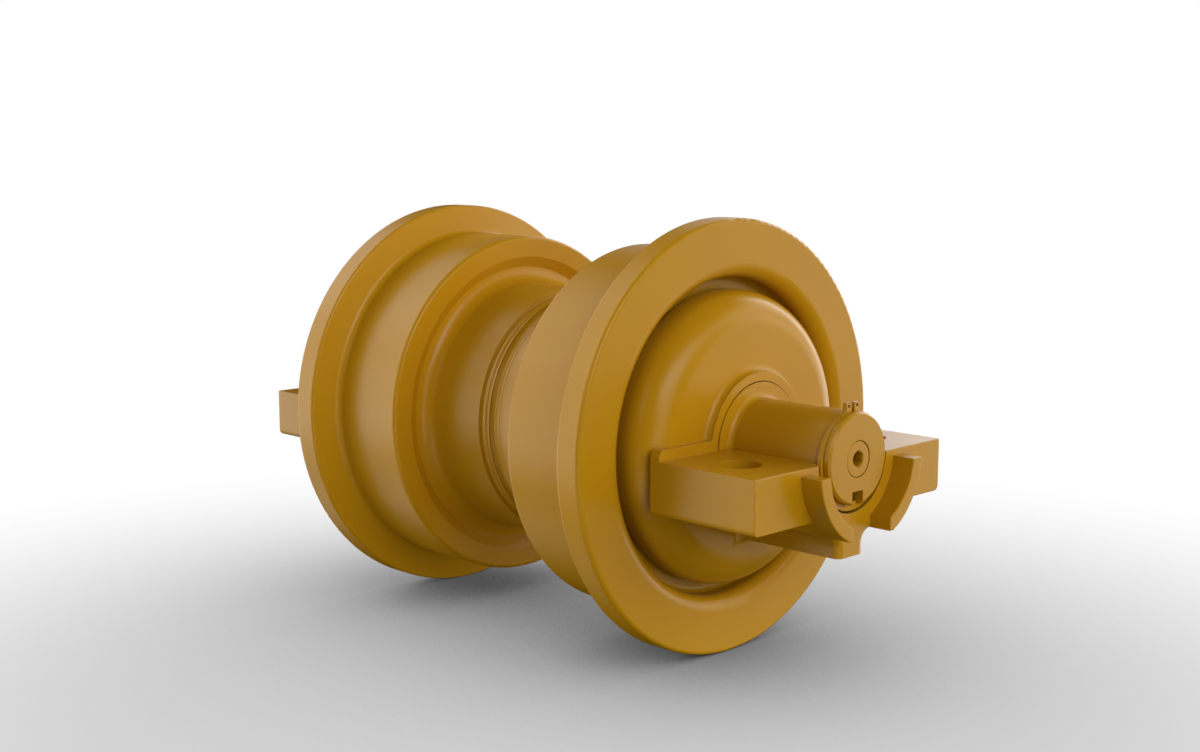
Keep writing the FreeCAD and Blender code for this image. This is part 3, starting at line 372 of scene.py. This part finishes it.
@dataclass(frozen=True)
class BlackRubber:
    """Matt black seal rubber."""

    deep: Colour = (0.012, 0.012, 0.013)
    pale: Colour = (0.024, 0.024, 0.025)
    roughness: float = 0.62
    roughness_drift: float = 0.06
    bloom_scale: float = 90.0
    bloom_detail: float = 3.0
    grain_scale: float = 700.0
    grain_detail: float = 2.0
    grain_height: float = 0.00001

    def material(self) -> bpy.types.Material:
        """Make the rubber with a faint bloom."""
        sheet = FinishSheet("black_rubber")
        bloom = sheet.noise(self.bloom_scale, self.bloom_detail)
        sheet.tint(sheet.spread(bloom, 0.0, 1.0), self.deep, self.pale)
        drift = self.roughness_drift
        rough = sheet.spread(bloom, self.roughness - drift, self.roughness + drift)
        sheet.join(rough, "Result", sheet.shader, "Roughness")
        sheet.relief(sheet.noise(self.grain_scale, self.grain_detail), self.grain_height)
        return sheet.material


SEAL_IRON = PlainMetal("seal_iron", (0.30, 0.30, 0.31), (0.42, 0.42, 0.43), 0.24)
BRONZE = PlainMetal("bronze", (0.50, 0.31, 0.14), (0.62, 0.40, 0.19), 0.34)
SCREW_STEEL = PlainMetal("black_steel", (0.06, 0.06, 0.065), (0.11, 0.11, 0.12), 0.42)
COPPER = PlainMetal("copper", (0.62, 0.29, 0.19), (0.72, 0.37, 0.25), 0.36)


@dataclass
class Finishes:
    """Every finish of the roller, made once."""

    enamel: bpy.types.Material = field(init=False)
    iron: bpy.types.Material = field(init=False)
    rubber: bpy.types.Material = field(init=False)
    bronze: bpy.types.Material = field(init=False)
    screw_steel: bpy.types.Material = field(init=False)
    copper: bpy.types.Material = field(init=False)

    def __post_init__(self) -> None:
        """Make the materials."""
        self.enamel = Enamel().material()
        self.iron = SEAL_IRON.material()
        self.rubber = BlackRubber().material()
        self.bronze = BRONZE.material()
        self.screw_steel = SCREW_STEEL.material()
        self.copper = COPPER.material()


def dress(node: str, finish: bpy.types.Material, frame: dict) -> None:
    """Give all faces of a CAD node one finish, and leave its mesh as it is.

    Args:
        node: Name of the node.
        finish: Material for its faces.
    """
    mesh = frame["nodes"][node].data
    mesh.materials.clear()
    mesh.materials.append(finish)
    for face in mesh.polygons:
        face.material_index = 0
    LOG.info("%s: %s", node, finish.name)


@dataclass
class RollingShell:
    """The turning part: two flanged halves, the weld between them and what they hold inside."""

    frame: dict
    finishes: Finishes

    def build(self) -> None:
        """Dress the shell's nodes."""
        dress("weld_ring", self.finishes.enamel, self.frame)
        for end in End:
            dress(f"rim_half_{end.value}", self.finishes.enamel, self.frame)
            dress(f"bushing_{end.value}", self.finishes.bronze, self.frame)
            dress(f"bushing_bolts_{end.value}", self.finishes.screw_steel, self.frame)
            dress(f"rotating_seal_ring_{end.value}", self.finishes.iron, self.frame)
            dress(f"rotating_rubber_ring_{end.value}", self.finishes.rubber, self.frame)


@dataclass
class HeldShaft:
    """The standing part: shaft, end collars and everything keyed, clipped or screwed to them."""

    frame: dict
    finishes: Finishes

    def build(self) -> None:
        """Dress the shaft's and the collars' nodes."""
        dress("shaft", self.finishes.enamel, self.frame)
        dress("oil_plug", self.finishes.enamel, self.frame)
        dress("plug_washer", self.finishes.copper, self.frame)
        for end in End:
            dress(f"end_collar_{end.value}", self.finishes.enamel, self.frame)
            dress(f"retaining_ring_{end.value}", self.finishes.enamel, self.frame)
            dress(f"shaft_key_{end.value}", self.finishes.enamel, self.frame)
            dress(f"fixed_seal_ring_{end.value}", self.finishes.iron, self.frame)
            dress(f"fixed_rubber_ring_{end.value}", self.finishes.rubber, self.frame)
            dress(f"oil_ring_{end.value}", self.finishes.rubber, self.frame)


@dataclass(frozen=True)
class PhotoCamera:
    """The photograph's camera, fitted to the flange circles, in flange radii and pixels."""

    place: Place = (-5.6912542, -5.80054124, 1.37237871)
    right: Place = (0.70555, -0.70866, 0.00027)
    up: Place = (0.10242, 0.10234, 0.98946)
    back: Place = (-0.70122, -0.69809, 0.14479)
    focal_pixels: float = 1655.69
    width_pixels: float = 1200.0
    sensor_millimetres: float = 36.0
    nearest: float = 0.1
    furthest: float = 1000.0

    def build(self, flange_radius: float) -> bpy.types.Object:
        """Make the camera and give it to the scene.

        Args:
            flange_radius: Radius of the flange in metres.

        Returns:
            The camera object.
        """
        data = bpy.data.cameras.new("photo_camera")
        data.sensor_width = self.sensor_millimetres
        data.lens = self.focal_pixels * self.sensor_millimetres / self.width_pixels
        data.clip_start = self.nearest * flange_radius
        data.clip_end = self.furthest * flange_radius
        camera = bpy.data.objects.new("photo_camera", data)
        bpy.context.scene.collection.objects.link(camera)
        turn = Matrix((self.right, self.up, self.back)).transposed().to_4x4()
        camera.matrix_world = Matrix.Translation(Vector(self.place) * flange_radius) @ turn
        bpy.context.scene.camera = camera
        return camera


@dataclass(frozen=True)
class PaintedFloorShadow:
    """One part of the floor's painted shadow: its glow is dimmed where something stands nearer than
    its reach.
    """

    share: float
    reach: float


@dataclass(frozen=True)
class PaleFloor:
    """Pale floor that glows, with painted soft grey shadows, that fades into a white surround
    further out.
    """

    # Painted shadows: shares of the floor's glow that are dimmed by whatever stands within each
    # reach.
    painted_shadows: tuple[PaintedFloorShadow, ...] = (
        PaintedFloorShadow(0.062, 0.06),
        PaintedFloorShadow(0.388, 0.40),
        PaintedFloorShadow(0.234, 100.0),
    )
    painted_shadow_rays: int = 8
    fade_middle: Place = (-0.154, -0.162, 0.0)
    fade_start: float = 0.27
    fade_end: float = 0.868
    reach: float = 30.0

    def brightness(self, sheet: NodeSheet) -> bpy.types.Node:
        """Add the nodes that paint the floor's shadow: its glow dims by how much stands near, under
        the roller and round it.

        Args:
            sheet: Node tree of the floor.

        Returns:
            The node whose result is the brightness.
        """
        parts = []
        for shade in self.painted_shadows:
            nearby = sheet.add("ShaderNodeAmbientOcclusion", samples=self.painted_shadow_rays)
            nearby.inputs["Distance"].default_value = shade.reach
            parts.append((nearby, "AO", shade.share))
        return sheet.weighted_sum(parts)

    def fade(self, sheet: NodeSheet) -> bpy.types.Node:
        """Add the nodes that measure how far a place on the floor lies into the white surround.

        Args:
            sheet: Node tree of the floor.

        Returns:
            The node whose result runs from 0 near the roller to 1 in the surround.
        """
        place = sheet.add("ShaderNodeTexCoord")
        distance = sheet.add("ShaderNodeVectorMath", operation="DISTANCE")
        distance.inputs[1].default_value = self.fade_middle
        sheet.join(place, "Object", distance, 0)
        fade = sheet.add("ShaderNodeMapRange", interpolation_type="SMOOTHSTEP")
        fade.inputs["From Min"].default_value = self.fade_start
        fade.inputs["From Max"].default_value = self.fade_end
        sheet.join(distance, "Value", fade, "Value")
        return fade

    def material(self) -> bpy.types.Material:
        """Make the floor's finish: a glow with painted shadows, seen by the camera, and open to the
        light from below.
        """
        material = bpy.data.materials.new("pale_floor")
        material.use_nodes = True
        sheet = NodeSheet(material.node_tree)
        level = sheet.add("ShaderNodeMix", data_type="FLOAT")
        level.inputs[NUMBER_HIGH].default_value = 1.0
        sheet.join(self.fade(sheet), "Result", level, MIX_SHARE)
        sheet.join(self.brightness(sheet), "Value", level, NUMBER_LOW)
        # The floor glows instead of taking light; its shadows are painted into the glow's strength.
        pale = sheet.add("ShaderNodeEmission")
        sheet.join(level, NUMBER_MIXED, pale, "Strength")
        surface = sheet.for_camera(pale, sheet.add("ShaderNodeBsdfTransparent"))
        sheet.join(surface, 0, sheet.add("ShaderNodeOutputMaterial"), "Surface")
        return material

    def build(self, height: float) -> bpy.types.Object:
        """Make the floor that the flanges stand on.

        Args:
            height: Level of the floor in metres.

        Returns:
            The floor object.
        """
        signs = ((-1.0, -1.0), (1.0, -1.0), (1.0, 1.0), (-1.0, 1.0))
        corners = [(across * self.reach, along * self.reach, 0.0) for across, along in signs]
        mesh = bpy.data.meshes.new("studio_floor")
        mesh.from_pydata(corners, [], [(0, 1, 2, 3)])
        floor = bpy.data.objects.new("studio_floor", mesh)
        floor.location.z = height
        bpy.context.scene.collection.objects.link(floor)
        mesh.materials.append(self.material())
        return floor


@dataclass(frozen=True)
class LightRing:
    """Soft patches of far light at one height round the roller, each brightest at its middle."""

    elevation: float
    sharpness: float
    strengths: dict[float, float]

    def patches(self) -> list[tuple[Vector, float]]:
        """Return the direction of each patch's middle, with its strength."""
        rise = math.radians(self.elevation)
        level = math.cos(rise)
        found = []
        for azimuth, strength in self.strengths.items():
            turn = math.radians(azimuth)
            toward = Vector((math.sin(turn) * level, -math.cos(turn) * level, math.sin(rise)))
            found.append((toward, strength))
        return found


# Height in degrees, sharpness, and the strength at each azimuth in degrees from -Y towards +X,
# chosen so that the paint's tones come out as in the photograph.
SOFT_LIGHT = (
    LightRing(8.0, 45.0, {
        355.0: 2.02, 55.0: 2.67, 95.0: 3.40, 115.0: 2.90, 195.0: 1.16, 215.0: 2.59, 235.0: 2.17,
    }),
    LightRing(-10.0, 45.0, {
        335.0: 2.86, 55.0: 0.87, 75.0: 3.42, 95.0: 0.95, 195.0: 3.43, 215.0: 2.57, 235.0: 1.71,
    }),
    LightRing(28.0, 45.0, {
        339.0: 5.88, 3.0: 4.20, 27.0: 1.09, 51.0: 1.96, 75.0: 1.97, 99.0: 4.85, 123.0: 1.05,
        171.0: 2.05, 195.0: 2.87, 219.0: 2.73, 267.0: 1.87,
    }),
    LightRing(-32.0, 30.0, {195.0: 0.99, 285.0: 1.59}),
    LightRing(50.0, 25.0, {195.0: 1.66}),
)


@dataclass
class SoftWorld:
    """Soft light from all round, and plain white where the camera looks past the roller."""

    rings: Sequence[LightRing]

    def brightness(self, sheet: NodeSheet) -> bpy.types.Node:
        """Add the nodes that give the light's brightness in each direction.

        Args:
            sheet: Node tree of the world.

        Returns:
            The node whose result is the brightness.
        """
        place = sheet.add("ShaderNodeTexCoord")
        parts = []
        for ring in self.rings:
            for toward, strength in ring.patches():
                aim = sheet.add("ShaderNodeVectorMath", operation="DOT_PRODUCT")
                aim.inputs[1].default_value = toward
                sheet.join(place, "Generated", aim, 0)
                facing = sheet.add("ShaderNodeMath", operation="MAXIMUM")
                facing.inputs[1].default_value = 0.0
                sheet.join(aim, "Value", facing, 0)
                fall = sheet.add("ShaderNodeMath", operation="POWER")
                fall.inputs[1].default_value = ring.sharpness
                sheet.join(facing, "Value", fall, 0)
                parts.append((fall, "Value", strength))
        return sheet.weighted_sum(parts)

    def build(self) -> None:
        """Make the world and give it to the scene."""
        world = bpy.data.worlds.new("studio")
        bpy.context.scene.world = world
        world.use_nodes = True
        sheet = NodeSheet(world.node_tree)
        glow = sheet.add("ShaderNodeBackground")
        glow.inputs["Color"].default_value = WHITE
        sheet.join(self.brightness(sheet), "Value", glow, "Strength")
        white = sheet.add("ShaderNodeBackground")
        white.inputs["Color"].default_value = WHITE
        surface = sheet.for_camera(white, glow)
        sheet.join(surface, 0, sheet.add("ShaderNodeOutputWorld"), "Surface")


def main() -> None:
    """Dress the roller's two bodies, then build the floor, the light and the camera."""
    logging.basicConfig(level=logging.INFO, format="%(name)s: %(message)s")
    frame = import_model()
    finishes = Finishes()
    RollingShell(frame, finishes).build()
    HeldShaft(frame, finishes).build()
    low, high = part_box("rim_half_plug_end")
    flange_radius = (high.x - low.x) / 2.0
    PaleFloor().build(height=-flange_radius)
    SoftWorld(SOFT_LIGHT).build()
    PhotoCamera().build(flange_radius)
    bpy.context.scene.view_settings.view_transform = "Standard"


if __name__ == "__main__":
    main()
